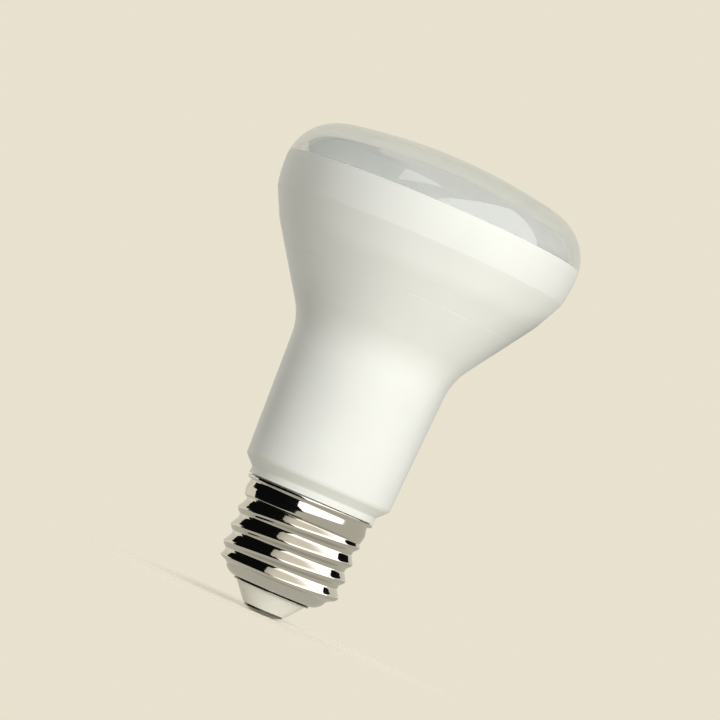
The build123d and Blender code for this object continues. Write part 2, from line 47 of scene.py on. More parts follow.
# Camera: just above the cap's rim, and rolled so that the lamp leans to the right
cameraSetup = {
    "distance": 800.0,  # mm from the lens to the lamp's axis
    "height": 26.5,  # mm above the contact's end face
    "aimSide": -1.9,
    "aimHeight": 54.3,
    "lean": 23.14,  # degrees
    "fieldWidth": 143.8,  # mm of the lamp's plane across the frame
    "sensor": 36.0,
    "clip": (0.01, 20.0),  # m
}


def makeCamera(setup):
    eye = Vector((0, -setup["distance"], setup["height"])) * mm
    aim = Vector((setup["aimSide"], 0, setup["aimHeight"])) * mm
    forward = (aim - eye).normalized()
    lean = radians(setup["lean"])
    right = forward.cross(Vector((-sin(lean), 0, cos(lean)))).normalized()
    upward = right.cross(forward)
    turned = Matrix((right, upward, -forward)).transposed().to_4x4()
    data = bpy.data.cameras.new("photoCamera")
    data.sensor_width = setup["sensor"]
    data.lens = setup["sensor"] * (aim - eye).length / (setup["fieldWidth"] * mm)
    data.clip_start, data.clip_end = setup["clip"]
    camera = bpy.data.objects.new("photoCamera", data)
    camera.matrix_world = Matrix.Translation(eye) @ turned
    scene.collection.objects.link(camera)
    scene.camera = camera


makeCamera(cameraSetup)
scene.view_settings.view_transform = "Standard"
print("camera: lens", round(scene.camera.data.lens, 1), "mm")


# Small helpers for node trees
def addNode(tree, kind, settings=None, inputs=None):
    node = tree.nodes.new(kind)
    for key, value in (settings or {}).items():
        setattr(node, key, value)
    for key, value in (inputs or {}).items():
        node.inputs[key].default_value = value
    return node


def calc(tree, operation, *terms):
    node = addNode(tree, "ShaderNodeMath", {"operation": operation})
    for socket, term in zip(node.inputs, terms):
        if isinstance(term, (int, float)):
            socket.default_value = term
        else:
            tree.links.new(term, socket)
    return node.outputs["Value"]


def newMaterial(name):
    material = bpy.data.materials.new(name)
    material.use_nodes = True
    tree = material.node_tree
    shader = tree.nodes["Principled BSDF"]
    return material, tree, shader


noiseLook = {
    "detail": 3.0,
    "span": (0.3, 0.7),  # where the noise reaches the low and the high tint
    "bumpDepth": 0.1,  # mm
}


def objectNoise(tree, scale):
    coords = addNode(tree, "ShaderNodeTexCoord")
    noise = addNode(tree, "ShaderNodeTexNoise", inputs={"Scale": scale, "Detail": noiseLook["detail"]})
    tree.links.new(coords.outputs["Object"], noise.inputs["Vector"])
    return noise.outputs["Fac"]


def objectPlace(tree):
    coords = addNode(tree, "ShaderNodeTexCoord")
    split = addNode(tree, "ShaderNodeSeparateXYZ")
    tree.links.new(coords.outputs["Object"], split.inputs["Vector"])
    return split.outputs["X"], split.outputs["Y"], split.outputs["Z"]


def tintRamp(tree, source, low, high):
    ramp = addNode(tree, "ShaderNodeValToRGB")
    for element, position, tint in zip(ramp.color_ramp.elements, noiseLook["span"], (low, high)):
        element.position = position
        element.color = (*tint, 1)
    tree.links.new(source, ramp.inputs["Fac"])
    return ramp.outputs["Color"]


def mixColours(tree, factor, first, second):
    mix = addNode(tree, "ShaderNodeMix", {"data_type": "RGBA"})
    tree.links.new(factor, mix.inputs["Factor"])
    sockets = [socket for socket in mix.inputs if socket.type == "RGBA"]
    for socket, colour in zip(sockets, (first, second)):
        if isinstance(colour, tuple):
            socket.default_value = (*colour, 1)
        else:
            tree.links.new(colour, socket)
    return next(socket for socket in mix.outputs if socket.type == "RGBA")


def tintByNoise(tree, shader, source, low, high):
    tree.links.new(tintRamp(tree, source, low, high), shader.inputs["Base Color"])


def roughByNoise(tree, shader, source, low, high):
    spread = addNode(tree, "ShaderNodeMapRange", inputs={"To Min": low, "To Max": high})
    tree.links.new(source, spread.inputs["Value"])
    tree.links.new(spread.outputs["Result"], shader.inputs["Roughness"])


def bumpByNoise(tree, shader, source, strength):
    depth = noiseLook["bumpDepth"] * mm
    bump = addNode(tree, "ShaderNodeBump", inputs={"Strength": strength, "Distance": depth})
    tree.links.new(source, bump.inputs["Height"])
    tree.links.new(bump.outputs["Normal"], shader.inputs["Normal"])


# Moulded plastics and other plain finishes: a little cloud in the colour, a little spread in the gloss
finishes = {
    "housing_white": {"low": (0.823, 0.835, 0.787), "high": (0.863, 0.875, 0.825),
                      "rough": (0.34, 0.42), "cloud": 60, "grain": 2600, "bump": 0.04},
    "insulator_white": {"low": (0.80, 0.80, 0.76), "high": (0.86, 0.86, 0.82), "rough": (0.30, 0.42),
                        "cloud": 220, "grain": 3000, "bump": 0.05},
    "reflector_white": {"low": (0.84, 0.84, 0.83), "high": (0.88, 0.88, 0.87), "rough": (0.22, 0.32),
                        "cloud": 80, "grain": 2400, "bump": 0.03},
    "board_white": {"low": (0.80, 0.81, 0.79), "high": (0.86, 0.86, 0.84), "rough": (0.28, 0.40),
                    "cloud": 300, "grain": 3000, "bump": 0.06},
    "connector_white": {"low": (0.72, 0.70, 0.64), "high": (0.80, 0.78, 0.72), "rough": (0.35, 0.45),
                        "cloud": 300, "grain": 3000, "bump": 0.06},
    "led_body": {"low": (0.80, 0.78, 0.72), "high": (0.86, 0.84, 0.78), "rough": (0.30, 0.45),
                 "cloud": 500, "grain": 3000, "bump": 0.05},
    "board_green": {"low": (0.03, 0.16, 0.06), "high": (0.05, 0.24, 0.09), "rough": (0.25, 0.40),
                    "cloud": 250, "grain": 3000, "bump": 0.08},
    "sleeve_black": {"low": (0.018, 0.018, 0.022), "high": (0.035, 0.035, 0.04), "rough": (0.25, 0.40),
                     "cloud": 200, "grain": 2000, "bump": 0.05},
    "ferrite": {"low": (0.03, 0.03, 0.032), "high": (0.06, 0.058, 0.058), "rough": (0.55, 0.75),
                "cloud": 400, "grain": 2500, "bump": 0.20},
    "film_yellow": {"low": (0.62, 0.40, 0.03), "high": (0.74, 0.50, 0.06), "rough": (0.25, 0.40),
                    "cloud": 200, "grain": 2000, "bump": 0.05},
    "fuse_blue": {"low": (0.10, 0.26, 0.50), "high": (0.15, 0.34, 0.60), "rough": (0.35, 0.50),
                  "cloud": 300, "grain": 2500, "bump": 0.08},
    "package_black": {"low": (0.02, 0.02, 0.02), "high": (0.045, 0.045, 0.045), "rough": (0.45, 0.60),
                      "cloud": 400, "grain": 3000, "bump": 0.10},
    "lead_brown": {"low": (0.10, 0.04, 0.02), "high": (0.15, 0.06, 0.03), "rough": (0.35, 0.50),
                   "cloud": 300, "grain": 2500, "bump": 0.05},
    "lead_red": {"low": (0.42, 0.02, 0.02), "high": (0.52, 0.04, 0.03), "rough": (0.35, 0.50),
                 "cloud": 300, "grain": 2500, "bump": 0.05},
    "lead_black": {"low": (0.015, 0.015, 0.015), "high": (0.03, 0.03, 0.03), "rough": (0.35, 0.50),
                   "cloud": 300, "grain": 2500, "bump": 0.05},
}
metals = {
    "nickel": {"low": (0.70, 0.68, 0.64), "high": (0.76, 0.74, 0.70), "rough": (0.04, 0.08),
               "cloud": 90, "grain": 700, "bump": 0.01},
    # painted shade: a darkened metal for the contact, standing in for the shadow under the tip
    "contact_painted_shade": {"low": (0.20, 0.19, 0.17), "high": (0.26, 0.25, 0.22), "rough": (0.22, 0.34),
                     "cloud": 400, "grain": 2000, "bump": 0.04},
    "aluminium": {"low": (0.74, 0.75, 0.76), "high": (0.82, 0.83, 0.84), "rough": (0.28, 0.42),
                  "cloud": 120, "grain": 1500, "bump": 0.05},
    "screw_steel": {"low": (0.52, 0.52, 0.53), "high": (0.62, 0.62, 0.63), "rough": (0.18, 0.30),
                    "cloud": 500, "grain": 2500, "bump": 0.05},
    "copper_wire": {"low": (0.62, 0.28, 0.14), "high": (0.74, 0.36, 0.20), "rough": (0.20, 0.35),
                    "cloud": 300, "grain": 2500, "bump": 0.10},
    "lead_tin": {"low": (0.60, 0.60, 0.58), "high": (0.70, 0.70, 0.68), "rough": (0.25, 0.40),
                 "cloud": 400, "grain": 2500, "bump": 0.05},
}


def finishMaterial(name, look, metallic):
    material, tree, shader = newMaterial(name)
    shader.inputs["Metallic"].default_value = metallic
    cloud = objectNoise(tree, look["cloud"])
    tintByNoise(tree, shader, cloud, look["low"], look["high"])
    roughByNoise(tree, shader, cloud, *look["rough"])
    bumpByNoise(tree, shader, objectNoise(tree, look["grain"]), look["bump"])
    return material


materials = {name: finishMaterial(name, look, 0.0) for name, look in finishes.items()}
materials.update({name: finishMaterial(name, look, 1.0) for name, look in metals.items()})

# Cover: clear plastic with a gloss coat outside and a smoky inner face
coverLook = {
    "outerLow": (0.778, 0.813, 0.822),
    "outerHigh": (0.818, 0.853, 0.862),
    "innerLow": (0.815, 0.835, 0.87),
    "innerHigh": (0.855, 0.875, 0.91),
    "rough": (0.06, 0.10),
    "cloud": 60,
    "transmission": 0.80,
    "ior": 1.0,  # the body bends no light, and the coat has the gloss
    "coatIor": 1.8,
    "coatRough": 0.02,
    "shoulderCentre": (21.25, 86.16),  # mm from the axis and the contact's end face
    "halfWay": 9.8,  # mm from that centre: the outer face lies beyond it, the inner face within
}


def outerFaceMask(tree, look):
    x, y, z = objectPlace(tree)
    reach = calc(tree, "SQRT", calc(tree, "MULTIPLY_ADD", x, x, calc(tree, "MULTIPLY", y, y)))
    side, height = look["shoulderCentre"]
    across = calc(tree, "MAXIMUM", calc(tree, "SUBTRACT", reach, side * mm), 0.0)
    above = calc(tree, "SUBTRACT", z, height * mm)
    squares = calc(tree, "MULTIPLY_ADD", across, across, calc(tree, "MULTIPLY", above, above))
    return calc(tree, "GREATER_THAN", calc(tree, "SQRT", squares), look["halfWay"] * mm)


def coverMaterial(look):
    material, tree, shader = newMaterial("cover_clear")
    shader.inputs["Transmission Weight"].default_value = look["transmission"]
    shader.inputs["IOR"].default_value = look["ior"]
    shader.inputs["Coat IOR"].default_value = look["coatIor"]
    shader.inputs["Coat Roughness"].default_value = look["coatRough"]
    cloud = objectNoise(tree, look["cloud"])
    onOuterFace = outerFaceMask(tree, look)
    tree.links.new(onOuterFace, shader.inputs["Coat Weight"])
    inner = tintRamp(tree, cloud, look["innerLow"], look["innerHigh"])
    outer = tintRamp(tree, cloud, look["outerLow"], look["outerHigh"])
    tree.links.new(mixColours(tree, onOuterFace, inner, outer), shader.inputs["Base Color"])
    roughByNoise(tree, shader, cloud, *look["rough"])
    return material


materials["cover_clear"] = coverMaterial(coverLook)

for node in nodes.values():
    slotName = node.material_slots[0].material.name
    node.material_slots[0].material = materials[slotName]
# The centre contact takes the darkened metal: painted shade for the shadow under the tip
nodes["centre_contact"].material_slots[0].material = materials["contact_painted_shade"]
print("materials:", len(materials))


# Geometry Nodes helpers
def newGeoTree(name, sizes):
    tree = bpy.data.node_groups.new(name, "GeometryNodeTree")
    tree.interface.new_socket("Geometry", in_out="INPUT", socket_type="NodeSocketGeometry")
    for size, kind in sizes.items():
        tree.interface.new_socket(size, in_out="INPUT", socket_type="NodeSocket" + kind)
    tree.interface.new_socket("Geometry", in_out="OUTPUT", socket_type="NodeSocketGeometry")
    return tree, addNode(tree, "NodeGroupInput"), addNode(tree, "NodeGroupOutput")


def closeTree(tree, geometry, output, material):
    realize = addNode(tree, "GeometryNodeRealizeInstances")
    paint = addNode(tree, "GeometryNodeSetMaterial", inputs={"Material": material})
    tree.links.new(geometry, realize.inputs["Geometry"])
    tree.links.new(realize.outputs["Geometry"], paint.inputs["Geometry"])
    tree.links.new(paint.outputs["Geometry"], output.inputs["Geometry"])


def runTree(name, mesh, tree, sizes):
    piece = bpy.data.objects.new(name, mesh)
    scene.collection.objects.link(piece)
    modifier = piece.modifiers.new(name, "NODES")
    modifier.node_group = tree
    for item in tree.interface.items_tree:
        if item.name in sizes and item.in_out == "INPUT":
            modifier[item.identifier] = sizes[item.name]
    made = bpy.data.meshes.new_from_object(piece.evaluated_get(bpy.context.evaluated_depsgraph_get()))
    piece.modifiers.remove(modifier)
    piece.data = made
    made.name = name
    return piece


# Screw shell: a lathed sheet, and a tree that rolls the thread into it
shellLook = {  # lengths in mm
    "columns": 384,
    "threadRows": 170,
    "sheet": 0.35,
    "openingRadius": 7.1,
    "floorRadius": 7.5,
    "beadRadius": 0.22,  # rolled edge round the opening
    "beadReach": 7.9,
    "beadTurn": (-90, -15),  # degrees
    "beadSteps": 8,
    "beadNeck": ((0.2, 1.4), (0.3, 1.9)),  # in bead radii beyond its reach and over the opening
    "paintedShadeBand": (0.18, 0.44),  # painted shade: the dark line above that edge, where the crevice by the insulator lies in shadow, from and to a height over the opening
    "paintedShadeColour": (0.03, 0.03, 0.028),
    "shoulderHeight": 2.3,
    "shoulderBulge": 0.45,
    "shoulderSteps": 16,
    "rootRadius": 10.7,
    "grooveRadius": 11.87,
    "skirtRadius": 12.62,
    "skirtTopRadius": 12.54,
    "skirtBend": (12.9, 1.4),  # radius, and height above the thread
    "skirtBendLength": 0.45,
    "skirtBendSteps": 12,
    "skirtSteps": 5,
    "lipSlope": 0.35,
    "lipHeight": 0.55,
    "lipEdge": 0.12,
    "lipTrim": 0.3,  # share of the edge that its round takes off the corner
    "skirtLength": 3.1,
    "boreRadius": 11.65,
    "boreEnds": 1.2,  # mm over which the bore changes at its ends
    "cornerSheet": 1.4,  # the sheet's thickness at the shoulder, in sheets
}
threadSizes = {
    "Pitch": 3.629 * mm,
    "Depth": 0.95 * mm,
    "Bottom Runout": 1.2 * mm,
    "Top Runout": 0.6 * mm,
    "Crest Height": 14.4 * mm,  # of a crest on the -X side
    "Crest Sharpness": 1.1,
    "Crest Lean": 0.15,  # makes the flank above a crest longer than the one below
}


def smoothStep(share):
    share = min(max(share, 0), 1)
    return share * share * (3 - 2 * share)


def shoulderOutline(look, low, threadBottom):
    bead, reach = look["beadRadius"], look["beadReach"]
    outline = [(look["openingRadius"], low, 0)]
    firstTurn, lastTurn = look["beadTurn"]
    for i in range(look["beadSteps"] + 1):  # the rolled edge bulges out under the shoulder
        turn = radians(firstTurn + (lastTurn - firstTurn) * i / look["beadSteps"])
        outline.append((reach + bead * cos(turn), low + bead + bead * sin(turn), 0))
    for outwards, upwards in look["beadNeck"]:
        outline.append((reach + outwards * bead, low + upwards * bead, 0))
    start = Vector(outline[-1][:2])
    end = Vector((look["rootRadius"], threadBottom))
    across = Vector((end.y - start.y, start.x - end.x)).normalized()
    for i in range(1, look["shoulderSteps"] + 1):  # a shallow arc up to the thread
        share = i / look["shoulderSteps"]
        point = start.lerp(end, share) + across * look["shoulderBulge"] * 4 * share * (1 - share)
        outline.append((point.x, point.y, 0))
    return outline


# The wall that the thread is rolled into
def wallOutline(look, threadBottom, threadTop):
    bottomRunout, topRunout = threadSizes["Bottom Runout"] / mm, threadSizes["Top Runout"] / mm
    outline = []
    for i in range(1, look["threadRows"]):
        height = threadBottom + (threadTop - threadBottom) * i / look["threadRows"]
        started = smoothStep((height - threadBottom) / bottomRunout)
        ended = 1 - smoothStep((threadTop - height) / topRunout)
        radius = look["rootRadius"] + (look["grooveRadius"] - look["rootRadius"]) * started
        radius += (look["skirtRadius"] - look["grooveRadius"]) * ended
        outline.append((radius, height, 1))
    return outline


def skirtOutline(look, threadTop, lipBottom):
    foot = Vector((look["skirtRadius"], threadTop))
    bend = Vector((look["skirtBend"][0], threadTop + look["skirtBend"][1]))
    top = Vector((look["skirtTopRadius"], lipBottom))
    before = bend + (foot - bend).normalized() * look["skirtBendLength"]
    after = bend + (top - bend).normalized() * look["skirtBendLength"]
    steps, bendSteps = look["skirtSteps"], look["skirtBendSteps"]
    skirt = [foot.lerp(before, i / steps) for i in range(steps)]
    for i in range(bendSteps + 1):  # the skirt bends inwards half way up
        share = i / bendSteps
        skirt.append(before.lerp(bend, share).lerp(bend.lerp(after, share), share))
    skirt += [after.lerp(top, i / steps) for i in range(1, steps + 1)]
    return [(point.x, point.y, 0) for point in skirt]


def lipOutline(look, high, lipRadius):
    edge = look["lipEdge"]
    trim = look["lipTrim"] * edge
    lipFoot = high - look["lipHeight"]
    return [
        (lipRadius - edge, lipFoot - edge, 0),
        (lipRadius - trim, lipFoot - trim, 0),
        (lipRadius, lipFoot + 2 * trim, 0),
        (lipRadius, high - edge, 0),
        (lipRadius - trim, high - trim, 0),
        (lipRadius - edge, high, 0),
    ]


def innerOutline(look, low, high, lipRadius, lipBottom, threadBottom, threadTop):
    sheet = look["sheet"]
    cornerSheet = look["cornerSheet"] * sheet
    return [
        (lipRadius - sheet, high, 0),
        (lipRadius - sheet, lipBottom + look["lipSlope"] + sheet / 2, 0),
        (look["skirtTopRadius"] - sheet, lipBottom + sheet / 2, 0),
        (look["skirtRadius"] - sheet, threadTop, 0),
        (look["boreRadius"], threadTop - look["boreEnds"], 0),
        (look["boreRadius"], threadBottom + look["boreEnds"], 0),
        (look["rootRadius"] - cornerSheet, threadBottom, 0),
        (look["floorRadius"], low + cornerSheet, 0),
        (look["openingRadius"], low + sheet, 0),
    ]


def latheMesh(name, outline, columns):
    mesh = bpy.data.meshes.new(name)
    points = []
    for radius, height, _ in outline:
        for i in range(columns):
            turn = 2 * pi * i / columns
            points.append((radius * cos(turn) * mm, radius * sin(turn) * mm, height * mm))
    faces = []
    rows = len(outline)
    for row in range(rows):  # the last row closes on the first, so the sheet is a closed shell
        here, above = row * columns, (row + 1) % rows * columns
        for i in range(columns):
            j = (i + 1) % columns
            faces.append((here + i, here + j, above + j, above + i))
    mesh.from_pydata(points, [], faces)
    mesh.shade_smooth()
    rolled = mesh.attributes.new("rolled", "FLOAT", "POINT")
    for row, (_, _, share) in enumerate(outline):
        for i in range(columns):
            rolled.data[row * columns + i].value = share
    return mesh


def threadWave(tree, given, turn, z):
    waveHeight, waveMiddle = 0.48, 0.5  # keep the leaning wave between 0 and 1
    climb = calc(tree, "SUBTRACT", z, given.outputs["Crest Height"])
    turnsUp = calc(tree, "DIVIDE", climb, given.outputs["Pitch"])
    fromCrest = calc(tree, "SUBTRACT", turn, pi)
    phase = calc(tree, "SUBTRACT", fromCrest, calc(tree, "MULTIPLY", turnsUp, 2 * pi))
    doubled = calc(tree, "SINE", calc(tree, "MULTIPLY", phase, 2.0))
    skew = calc(tree, "MULTIPLY", doubled, given.outputs["Crest Lean"])
    leaning = calc(tree, "ADD", calc(tree, "COSINE", phase), skew)
    wave = calc(tree, "MULTIPLY_ADD", leaning, waveHeight, waveMiddle)
    return calc(tree, "POWER", wave, given.outputs["Crest Sharpness"])


def runoutFades(tree, given, z):
    fades = []
    fromBottom = calc(tree, "SUBTRACT", z, given.outputs["Bottom"])
    fromTop = calc(tree, "SUBTRACT", given.outputs["Top"], z)
    for distance, runout in ((fromBottom, "Bottom Runout"), (fromTop, "Top Runout")):
        fade = addNode(tree, "ShaderNodeMapRange", {"interpolation_type": "SMOOTHSTEP"})
        tree.links.new(distance, fade.inputs["Value"])
        tree.links.new(given.outputs[runout], fade.inputs["From Max"])
        fades.append(fade.outputs["Result"])
    return fades


def rollThreadTree(material):
    sizes = {"Bottom": "Float", "Top": "Float"}
    sizes.update({size: "Float" for size in threadSizes})
    tree, given, output = newGeoTree("rollThread", sizes)
    place = addNode(tree, "GeometryNodeInputPosition")
    split = addNode(tree, "ShaderNodeSeparateXYZ")
    tree.links.new(place.outputs["Position"], split.inputs["Vector"])
    x, y, z = split.outputs["X"], split.outputs["Y"], split.outputs["Z"]
    turn = calc(tree, "ARCTAN2", y, x)
    rolled = addNode(
        tree,
        "GeometryNodeInputNamedAttribute",
        {"data_type": "FLOAT"},
        {"Name": "rolled"},
    )
    push = calc(tree, "MULTIPLY", threadWave(tree, given, turn, z), given.outputs["Depth"])
    for factor in (*runoutFades(tree, given, z), rolled.outputs["Attribute"]):
        push = calc(tree, "MULTIPLY", push, factor)
    shift = addNode(tree, "ShaderNodeCombineXYZ")
    tree.links.new(calc(tree, "MULTIPLY", push, calc(tree, "COSINE", turn)), shift.inputs["X"])
    tree.links.new(calc(tree, "MULTIPLY", push, calc(tree, "SINE", turn)), shift.inputs["Y"])
    move = addNode(tree, "GeometryNodeSetPosition")
    tree.links.new(given.outputs["Geometry"], move.inputs["Geometry"])
    tree.links.new(shift.outputs["Vector"], move.inputs["Offset"])
    closeTree(tree, move.outputs["Geometry"], output, material)
    return tree


# Nickel with painted shade: a dark band where the crevice above the opening lies in shadow
def nickelWithPaintedShade(look, low):
    material = finishMaterial("nickel_painted_shade", metals["nickel"], 1.0)
    tree = material.node_tree
    colour = tree.nodes["Principled BSDF"].inputs["Base Color"]
    plain = colour.links[0].from_socket
    _, _, z = objectPlace(tree)
    bottom, top = [(low + height) * mm for height in look["paintedShadeBand"]]
    above = calc(tree, "GREATER_THAN", z, bottom)
    below = calc(tree, "LESS_THAN", z, top)
    inPaintedShade = calc(tree, "MULTIPLY", above, below)
    tree.links.new(mixColours(tree, inPaintedShade, plain, look["paintedShadeColour"]), colour)
    return material


def makeScrewShell(look):
    lowest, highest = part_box("screw_shell")
    low, high, lipRadius = lowest.z / mm, highest.z / mm, highest.x / mm
    lipBottom = high - look["lipHeight"] - look["lipSlope"]
    threadBottom = low + look["shoulderHeight"]
    threadTop = lipBottom - look["skirtLength"]
    outline = shoulderOutline(look, low, threadBottom)
    outline += wallOutline(look, threadBottom, threadTop)
    outline += skirtOutline(look, threadTop, lipBottom)
    outline += lipOutline(look, high, lipRadius)
    outline += innerOutline(look, low, high, lipRadius, lipBottom, threadBottom, threadTop)
    mesh = latheMesh("screwShellSheet", outline, look["columns"])
    sizes = dict(threadSizes, Bottom=threadBottom * mm, Top=threadTop * mm)
    shell = runTree("screwShell", mesh, rollThreadTree(nickelWithPaintedShade(look, low)), sizes)
    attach(shell, "root")
    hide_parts("screw_shell")
    print("screw shell:", len(shell.data.polygons), "faces")
    return shell


screwShell = makeScrewShell(shellLook)


# Phosphor: one shallow fill in the window of every LED
phosphorLook = {  # lengths in mm
    "count": 15,
    "radius": 1.04,
    "crown": 0.72,  # radius of the fill's flat top
    "depth": 0.19,
    "sides": 12,
    "low": (0.78, 0.50, 0.06),
    "high": (0.86, 0.60, 0.10),
    "rough": (0.25, 0.40),
    "grain": 1800,
    "bump": 0.10,
}


def phosphorMaterial(look):
    material, tree, shader = newMaterial("phosphor")
    grain = objectNoise(tree, look["grain"])
    tintByNoise(tree, shader, grain, look["low"], look["high"])
    roughByNoise(tree, shader, grain, *look["rough"])
    bumpByNoise(tree, shader, grain, look["bump"])
    return material


def ringOfFillsTree(material):
    sizes = {
        "Count": "Int",
        "Ring Radius": "Float",
        "Height": "Float",
        "Radius": "Float",
        "Crown": "Float",
        "Depth": "Float",
        "Sides": "Int",
    }
    tree, given, output = newGeoTree("ringOfFills", sizes)
    points = addNode(tree, "GeometryNodePoints")
    index = addNode(tree, "GeometryNodeInputIndex")
    share = calc(tree, "DIVIDE", index.outputs["Index"], given.outputs["Count"])
    turn = calc(tree, "MULTIPLY", share, 2 * pi)
    place = addNode(tree, "ShaderNodeCombineXYZ")
    for axis, wave in (("X", "COSINE"), ("Y", "SINE")):
        reach = calc(tree, "MULTIPLY", calc(tree, wave, turn), given.outputs["Ring Radius"])
        tree.links.new(reach, place.inputs[axis])
    tree.links.new(given.outputs["Height"], place.inputs["Z"])
    tree.links.new(given.outputs["Count"], points.inputs["Count"])
    tree.links.new(place.outputs["Vector"], points.inputs["Position"])
    fill = addNode(tree, "GeometryNodeMeshCone")
    tree.links.new(given.outputs["Sides"], fill.inputs["Vertices"])
    tree.links.new(given.outputs["Crown"], fill.inputs["Radius Top"])
    tree.links.new(given.outputs["Radius"], fill.inputs["Radius Bottom"])
    tree.links.new(given.outputs["Depth"], fill.inputs["Depth"])
    spin = addNode(tree, "ShaderNodeCombineXYZ")
    tree.links.new(turn, spin.inputs["Z"])
    spread = addNode(tree, "GeometryNodeInstanceOnPoints")
    tree.links.new(points.outputs["Points"], spread.inputs["Points"])
    tree.links.new(fill.outputs["Mesh"], spread.inputs["Instance"])
    tree.links.new(spin.outputs["Vector"], spread.inputs["Rotation"])
    closeTree(tree, spread.outputs["Instances"], output, material)
    return tree


def makePhosphor(look):
    lowest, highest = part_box("led_01")
    sizes = {
        "Count": look["count"],
        "Ring Radius": (lowest.x + highest.x) / 2,
        "Height": highest.z - look["depth"] * mm,
        "Radius": look["radius"] * mm,
        "Crown": look["crown"] * mm,
        "Depth": look["depth"] * mm,
        "Sides": look["sides"],
    }
    mesh = bpy.data.meshes.new("phosphorSeed")
    fills = runTree("phosphorFills", mesh, ringOfFillsTree(phosphorMaterial(look)), sizes)
    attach(fills, "root")
    print("phosphor:", look["count"], "fills")


makePhosphor(phosphorLook)


# Floor and backdrop: a pale sheet that fades into the pale surround
stageLook = {  # lengths in m
    "surround": (0.807, 0.755, 0.625),
    "floor": (0.80, 0.755, 0.64),
    "floorRough": 0.8,
    "floorGloss": 0.1,
    "lift": (0.243, 0.223, 0.193),  # what the unshaded floor lacks of the surround's colour
    "fadeFrom": 0.008,  # from the lamp's axis
    "fadeTo": 0.05,
    "radius": 0.055,
    "sides": 96,
    "ambient": (1.0, 0.99, 0.95),
    "ambientStrength": 0.395,
}


def seenDirectly(tree):
    path = addNode(tree, "ShaderNodeLightPath")
    seen = path.outputs["Is Camera Ray"]
    for kind in ("Is Glossy Ray", "Is Transmission Ray"):
        seen = calc(tree, "MAXIMUM", seen, path.outputs[kind])
    return seen


def floorMaterial(look):
    material, tree, shader = newMaterial("floor")
    shader.inputs["Base Color"].default_value = (*look["floor"], 1)
    shader.inputs["Roughness"].default_value = look["floorRough"]
    shader.inputs["Specular IOR Level"].default_value = look["floorGloss"]
    lift = addNode(tree, "ShaderNodeEmission", inputs={"Color": (*look["lift"], 1)})
    tree.links.new(seenDirectly(tree), lift.inputs["Strength"])
    lit = addNode(tree, "ShaderNodeAddShader")
    tree.links.new(shader.outputs["BSDF"], lit.inputs[0])
    tree.links.new(lift.outputs["Emission"], lit.inputs[1])
    clear = addNode(tree, "ShaderNodeBsdfTransparent")
    coords = addNode(tree, "ShaderNodeTexCoord")
    length = addNode(tree, "ShaderNodeVectorMath", {"operation": "LENGTH"})
    fade = addNode(
        tree,
        "ShaderNodeMapRange",
        {"interpolation_type": "SMOOTHSTEP"},
        {"From Min": look["fadeFrom"], "From Max": look["fadeTo"]},
    )
    tree.links.new(coords.outputs["Object"], length.inputs[0])
    tree.links.new(length.outputs["Value"], fade.inputs["Value"])
    faded = addNode(tree, "ShaderNodeMixShader")
    tree.links.new(fade.outputs["Result"], faded.inputs["Fac"])
    tree.links.new(lit.outputs["Shader"], faded.inputs[1])
    tree.links.new(clear.outputs["BSDF"], faded.inputs[2])
    tree.links.new(faded.outputs["Shader"], tree.nodes["Material Output"].inputs["Surface"])
    return material


def makeFloor(look):
    mesh = bpy.data.meshes.new("floor")
    turns = [2 * pi * i / look["sides"] for i in range(look["sides"])]
    ring = [(look["radius"] * cos(turn), look["radius"] * sin(turn), 0) for turn in turns]
    mesh.from_pydata(ring, [], [list(range(look["sides"]))])
    mesh.materials.append(floorMaterial(look))
    floor = bpy.data.objects.new("floor", mesh)
    floor.visible_glossy = False  # the polished cap shows the cards below instead
    floor.visible_shadow = False  # the bounce light comes up through it
    scene.collection.objects.link(floor)


def makeSurround(look):
    world = bpy.data.worlds.new("surround")
    scene.world = world
    world.use_nodes = True
    tree = world.node_tree
    tree.nodes.clear()
    ambient = addNode(
        tree,
        "ShaderNodeBackground",
        inputs={"Color": (*look["ambient"], 1), "Strength": look["ambientStrength"]},
    )
    backdrop = addNode(tree, "ShaderNodeBackground", inputs={"Color": (*look["surround"], 1)})
    mix = addNode(tree, "ShaderNodeMixShader")
    output = addNode(tree, "ShaderNodeOutputWorld")
    tree.links.new(seenDirectly(tree), mix.inputs["Fac"])
    tree.links.new(ambient.outputs["Background"], mix.inputs[1])
    tree.links.new(backdrop.outputs["Background"], mix.inputs[2])
    tree.links.new(mix.outputs["Shader"], output.inputs["Surface"])


makeFloor(stageLook)
makeSurround(stageLook)


# Studio: the lamp leans in the room, so lights and cards are placed there and turned with the lean.
# Azimuth 0 is the camera's side, and it grows to the right.
# Elevation 0 is level with the point that they stand round.
capPoint = Vector((0, 0, 15)) * mm
headPoint = Vector((0, 0, 88)) * mm
roomTurn = Matrix.Rotation(-radians(cameraSetup["lean"]), 3, "Y")
softBoxes = {  # degrees, m and W
    "keyBox": {"azimuth": 30, "elevation": 7, "distance": 1.0, "size": 0.6, "power": 7.7,
               "colour": (1.0, 1.0, 1.0), "throughCover": True},
    "bounceBox": {"azimuth": 10, "elevation": -60, "distance": 1.0, "size": 0.8, "power": 1.4,
                  "colour": (1.0, 0.92, 0.70), "throughCover": False},  # what a wide floor throws back
    "backBox": {"azimuth": -157, "elevation": 18, "distance": 1.0, "size": 0.6, "power": 3.6,
                "colour": (1.0, 0.99, 0.95), "throughCover": False},
}
felt = (0.004, 0.004, 0.004)
paleFloor = (0.51, 0.49, 0.415)
paleWall = (0.68, 0.67, 0.57)
window = (1.2, 1.2, 1.2)
wrapSteps = 24  # faces of a wrap each way
